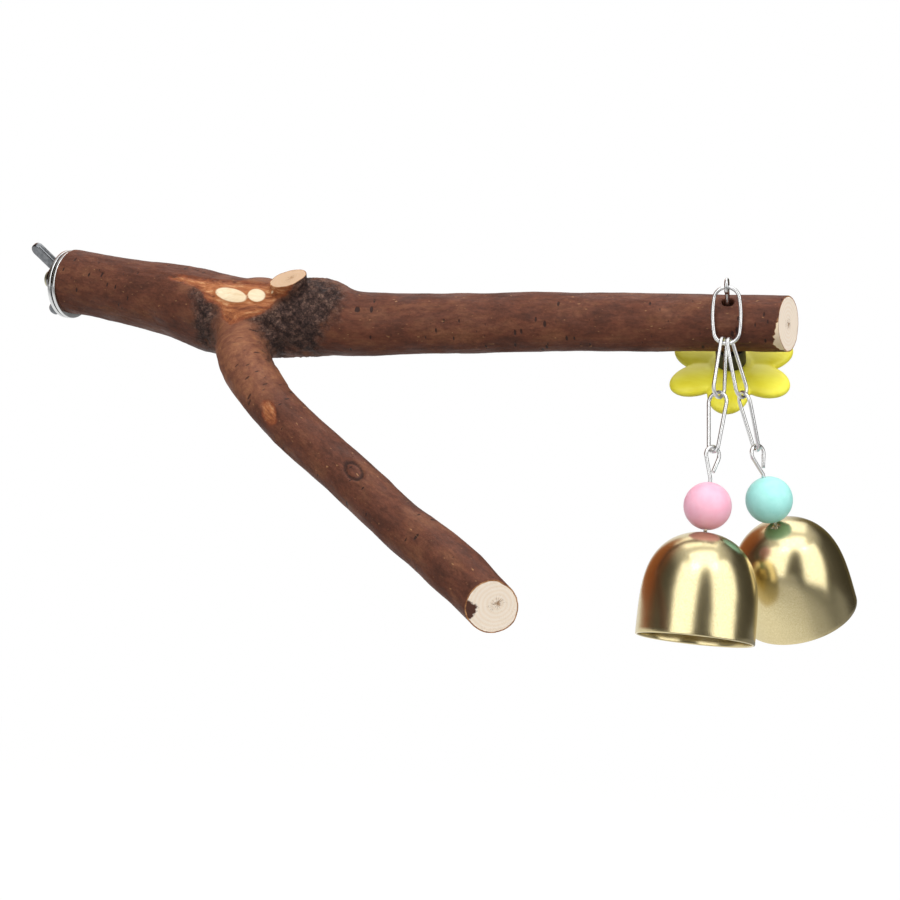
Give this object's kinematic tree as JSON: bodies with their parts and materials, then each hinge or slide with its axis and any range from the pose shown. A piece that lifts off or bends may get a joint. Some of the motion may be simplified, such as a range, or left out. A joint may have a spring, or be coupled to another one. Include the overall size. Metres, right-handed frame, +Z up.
{
  "type": "bird perch",
  "caption": "Forked natural branch perch with a clamp stud at one end and a pair of bells hung from a chain at the other.",
  "frame": {"origin": "on the stud's axis at the plane of the cage wall, the outer face of the front washer", "axes": "+X along the stud into the cage, +Z up, -Y towards the front of the perch"},
  "size_m": [0.3051, 0.1378, 0.1199],
  "materials": {
    "bark": "matte",
    "zinc": "satin",
    "washer_zinc": "satin",
    "wing_zinc": "satin",
    "pin_wire": "bright",
    "black_plastic": "matte",
    "yellow_paint": "painted",
    "chain_wire": "bright",
    "pink_bead": "glossy",
    "teal_bead": "glossy",
    "bell_brass": "satin",
    "clapper_steel": "satin"
  },
  "bodies": {
    "perch": {"forked_branch": "bark", "hanger_bolt": "zinc", "front_washer": "washer_zinc", "split_pin": "pin_wire", "flower_spacer": "black_plastic"},
    "clamp_washer": {"rear_washer": "washer_zinc"},
    "clamp_nut": {"wing_nut": "wing_zinc"},
    "flower_wheel": {"flower": "yellow_paint"},
    "oval_link": {"top_link": "chain_wire"},
    "left_upper": {"left_upper_link": "chain_wire"},
    "left_lower": {"left_lower_link": "chain_wire"},
    "left_wire": {"left_bell_wire": "chain_wire"},
    "left_bead_body": {"left_bead": "pink_bead"},
    "left_bell_body": {"left_bell": "bell_brass"},
    "left_clapper_body": {"left_clapper": "clapper_steel"},
    "right_upper": {"right_upper_link": "chain_wire"},
    "right_lower": {"right_lower_link": "chain_wire"},
    "right_wire": {"right_bell_wire": "chain_wire"},
    "right_bead_body": {"right_bead": "teal_bead"},
    "right_bell_body": {"right_bell": "bell_brass"},
    "right_clapper_body": {"right_clapper": "clapper_steel"}
  },
  "joints": [
    {"name": "clamp_slide", "type": "slide", "parent": "perch", "child": "clamp_washer", "axis": [-1, 0, 0], "range_m": [0, 0.0035]},
    {"name": "wing_nut_turn", "type": "hinge", "parent": "clamp_washer", "child": "clamp_nut", "pos_m": [0, 0, 0], "axis": [-1, 0, 0], "range_deg": [0, 1260]},
    {"name": "flower_spin", "type": "hinge", "parent": "perch", "child": "flower_wheel", "pos_m": [0.24346, 0.03671, -0.01235], "axis": [0.0889, -0.6664, 0.7402], "continuous": true},
    {"name": "oval_link_swing", "type": "hinge", "parent": "perch", "child": "oval_link", "pos_m": [0.24661, 0.01305, 0.01357], "axis": [-0.9793, -0.2025, 0], "range_deg": [0, 40]},
    {"name": "left_upper_swing", "type": "hinge", "parent": "oval_link", "child": "left_upper", "pos_m": [0.24702, 0.01348, -0.00295], "axis": [-0.2025, 0.9793, 0], "range_deg": [0, 35]},
    {"name": "left_lower_swing", "type": "hinge", "parent": "left_upper", "child": "left_lower", "pos_m": [0.248, 0.0098, -0.02054], "axis": [-0.9793, -0.2025, 0], "range_deg": [0, 45]},
    {"name": "left_wire_swing", "type": "hinge", "parent": "left_lower", "child": "left_wire", "pos_m": [0.24898, 0.00611, -0.03813], "axis": [-0.2025, 0.9793, 0], "range_deg": [0, 30]},
    {"name": "left_bead_spin", "type": "hinge", "parent": "left_wire", "child": "left_bead_body", "pos_m": [0.25004, 0.00216, -0.05704], "axis": [0.0545, -0.2045, -0.9773], "continuous": true},
    {"name": "left_bell_spin", "type": "hinge", "parent": "left_wire", "child": "left_bell_body", "pos_m": [0.25051, 0.0004, -0.06545], "axis": [0.0545, -0.2045, -0.9773], "continuous": true},
    {"name": "left_clapper_swing", "type": "hinge", "parent": "left_wire", "child": "left_clapper_body", "pos_m": [0.25074, -0.00049, -0.0717], "axis": [0.2574, -0.9663, 0], "range_deg": [-42, 42]},
    {"name": "right_upper_swing", "type": "hinge", "parent": "oval_link", "child": "right_upper", "pos_m": [0.24879, 0.01331, -0.003], "axis": [0.2025, -0.9793, 0], "range_deg": [0, 35]},
    {"name": "right_lower_swing", "type": "hinge", "parent": "right_upper", "child": "right_lower", "pos_m": [0.25389, 0.01651, -0.01997], "axis": [0.9793, 0.2025, 0], "range_deg": [0, 25]},
    {"name": "right_wire_swing", "type": "hinge", "parent": "right_lower", "child": "right_wire", "pos_m": [0.25899, 0.01971, -0.03693], "axis": [0.2025, -0.9793, 0], "range_deg": [0, 25]},
    {"name": "right_bead_spin", "type": "hinge", "parent": "right_wire", "child": "right_bead_body", "pos_m": [0.26422, 0.02298, -0.05432], "axis": [0.2834, 0.1777, -0.9424], "continuous": true},
    {"name": "right_bell_spin", "type": "hinge", "parent": "right_wire", "child": "right_bell_body", "pos_m": [0.26665, 0.02451, -0.06242], "axis": [0.1949, 0.4879, -0.8508], "continuous": true},
    {"name": "right_clapper_swing", "type": "hinge", "parent": "right_wire", "child": "right_clapper_body", "pos_m": [0.26789, 0.02528, -0.06852], "axis": [0.8472, 0.5313, 0], "range_deg": [-8, 54]}
  ],
  "couplings": [
    {"joint": "wing_nut_turn", "follows": "clamp_slide", "rad_per_m": 6283.2}
  ]
}
